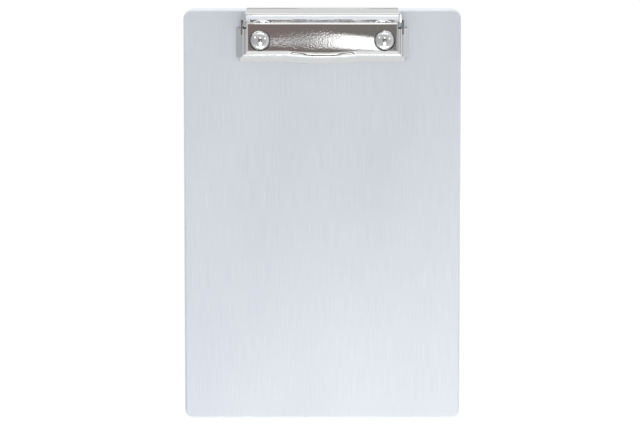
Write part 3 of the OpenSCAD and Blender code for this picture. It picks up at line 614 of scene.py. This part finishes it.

# %% [markdown]
# The coil is a helix about the pin: as the angle a grows, x moves on by the pitch for each full turn,
# while y and z go round a circle. The low leg slopes down to the base plate. The high leg turns up
# along the lever's slope by a curve with three control points, which blends its two straight parts.
# The left spring is the right one mirrored.

# %% Clip springs
PIVOT = np.array(next(
    joint["pos_m"] for joint in frame["record"]["behaviour"]["joints"] if joint["name"] == "clamp_pivot"))
COIL_X, COIL_R = 16 * MM, 1.75 * MM             # middle of the right coil, and radius of its turns
COIL_PITCH, COIL_TURNS = 1.5 * MM, 5.5
WIRE_R = 0.5 * MM
LOW_LEG = np.array([0, 6 * MM, -0.4 * MM])      # from the coil's start to the leg's end
LEVER_SLOPE = np.array([0, 0.667, 0.745])       # one unit of length along the high leg
HIGH_LEG, HIGH_BEND = 3.2 * MM, 0.6 * MM        # its length past the corner, and how far the bend reaches
CORNER_Y = 1.47 * MM                            # distance of the corner past the pin
LOW_REST, HIGH_REST = 0.08, 0.1                 # share of each leg left for its turn into the next part
TURN_POINTS, LOW_POINTS, BEND_POINTS, HIGH_POINTS = 32, 14, 12, 8       # points of the path

a = np.linspace(0, 2 * np.pi * COIL_TURNS, int(TURN_POINTS * COIL_TURNS) + 1)
coil = PIVOT + np.column_stack([
    COIL_X + COIL_PITCH * (a / (2 * np.pi) - COIL_TURNS / 2), -COIL_R * np.sin(a), -COIL_R * np.cos(a)])
low_leg = coil[0] + np.linspace(1, LOW_REST, LOW_POINTS)[:, None] * LOW_LEG
corner = np.array([coil[-1, 0], PIVOT[1] + CORNER_Y, PIVOT[2] + COIL_R])
start, stop = corner - [0, HIGH_BEND, 0], corner + HIGH_BEND * LEVER_SLOPE
t = np.linspace(0, 1, BEND_POINTS)[:, None]
bend = (1 - t) ** 2 * start + 2 * t * (1 - t) * corner + t ** 2 * stop
high_leg = stop + np.linspace(HIGH_REST, 1, HIGH_POINTS)[:, None] * (HIGH_LEG - HIGH_BEND) * LEVER_SLOPE
wire_path = np.vstack([low_leg, coil, bend, high_leg])
for side, mirror in (("right", 1), ("left", -1)):
    spring = tube("spring_wire_" + side, wire_path * (mirror, 1, 1), WIRE_R)
    spring.data.materials.append(wire_steel)
    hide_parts("clip_spring_" + side)
    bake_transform(spring)
print("wire", (np.linalg.norm(np.diff(wire_path, axis=0), axis=1).sum() / MM).round(1), "mm long")


# %% [markdown]
# The two big rivets are the clip's most mirror-like forms, and a mirror shows any corner at the rim.
# A sphere and some cylinders could be joined, but one profile turned about the rivet's axis runs from
# the dome into the rolled edge without a corner. Below them come a tapered neck, the shank and the
# set tail. The edge stands 0.3 mm further out than the solid's, because in the photograph the heads
# nearly fill the holes in the panel.

# %% Turning a profile
TURN_STEPS = 128


def arc(r, z, radius, start, stop, count):
    """Points (r + radius * sin t, z + radius * cos t), where t is the tilt from upright in degrees."""
    t = np.radians(np.linspace(start, stop, count))
    return np.column_stack([r + radius * np.sin(t), z + radius * np.cos(t)])


def turned(name, profile, x, y):
    """Point (j, k) is (x + r[j] * cos(a[k]), y + r[j] * sin(a[k]), z[j]), and the profile's first and
    last points, which lie on the axis, are one vertex each. The profile runs down, so each face
    between the rings is turned over to point outwards."""
    a = np.linspace(0, 2 * np.pi, TURN_STEPS, endpoint=False)
    r, z = profile[1:-1].T
    top, foot = profile[[0, -1], 1]
    rings = np.stack([
        x + np.outer(r, np.cos(a)), y + np.outer(r, np.sin(a)), np.repeat(z[:, None], TURN_STEPS, 1)], -1)
    points = np.vstack([[[x, y, top]], rings.reshape(-1, 3), [[x, y, foot]]])
    walls = 1 + ring_faces(len(r), TURN_STEPS)[:, [0, 3, 2, 1]]
    first = 1 + np.arange(TURN_STEPS)
    on, down = np.roll(first, -1), (len(r) - 1) * TURN_STEPS
    cap = np.column_stack([0 * first, first, on])
    base = np.column_stack([0 * first + len(points) - 1, on + down, first + down])
    return make_piece(name, points, walls.tolist() + cap.tolist() + base.tolist())


print("turned in", TURN_STEPS, "steps")

# %% [markdown]
# The dome is part of a ball whose face leans over by 42 degrees where the rolled edge begins, and the
# edge goes on from there until it faces a little down. The two arcs touch where both have the same
# tilt, so the ball's radius follows from the edge's. The rest of the profile is straight, and only
# its corners are shaded sharp.

# %% Domed rivets
DOME_R, DOME_TILT = 5.6 * MM, 42     # radius of the head, and the tilt at which its edge begins
EDGE_R, EDGE_STOP = 0.35 * MM, 100   # radius of that rolled edge, and the tilt at which it ends
NECK_R, SHANK_R, TAIL_R, TAIL_T = 4.7 * MM, 2.1 * MM, 3.3 * MM, 1.2 * MM
BASE_T = 1.0 * MM                    # height over the lid of the base plate, on which the neck stands
DOME_POINTS, EDGE_POINTS = 40, 14
SHARP_FROM = math.radians(35)

tilt = math.radians(DOME_TILT)
ball = (DOME_R - EDGE_R) / math.sin(tilt) + EDGE_R
for side in ("left", "right"):
    low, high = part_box("clip_rivet_" + side)
    centre = high.z - ball
    edge = centre + (ball - EDGE_R) * math.cos(tilt)
    profile = np.vstack([
        arc(0, centre, ball, 0, DOME_TILT, DOME_POINTS),
        arc(DOME_R - EDGE_R, edge, EDGE_R, DOME_TILT, EDGE_STOP, EDGE_POINTS)[1:],
        [(NECK_R, FACE_Z + BASE_T), (SHANK_R, FACE_Z + BASE_T), (SHANK_R, low.z + TAIL_T),
         (TAIL_R, low.z + TAIL_T), (TAIL_R, low.z), (0, low.z)]])
    rivet = turned("domed_rivet_" + side, profile, (low.x + high.x) / 2, (low.y + high.y) / 2)
    rivet.data.set_sharp_from_angle(angle=SHARP_FROM)
    rivet.data.materials.append(dome_metal)
    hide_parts("clip_rivet_" + side)
    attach(rivet, "lid")
print("the domes are part of a ball of", round(ball / MM, 2), "mm in radius")

# %% [markdown]

# %% Finish
print("done")
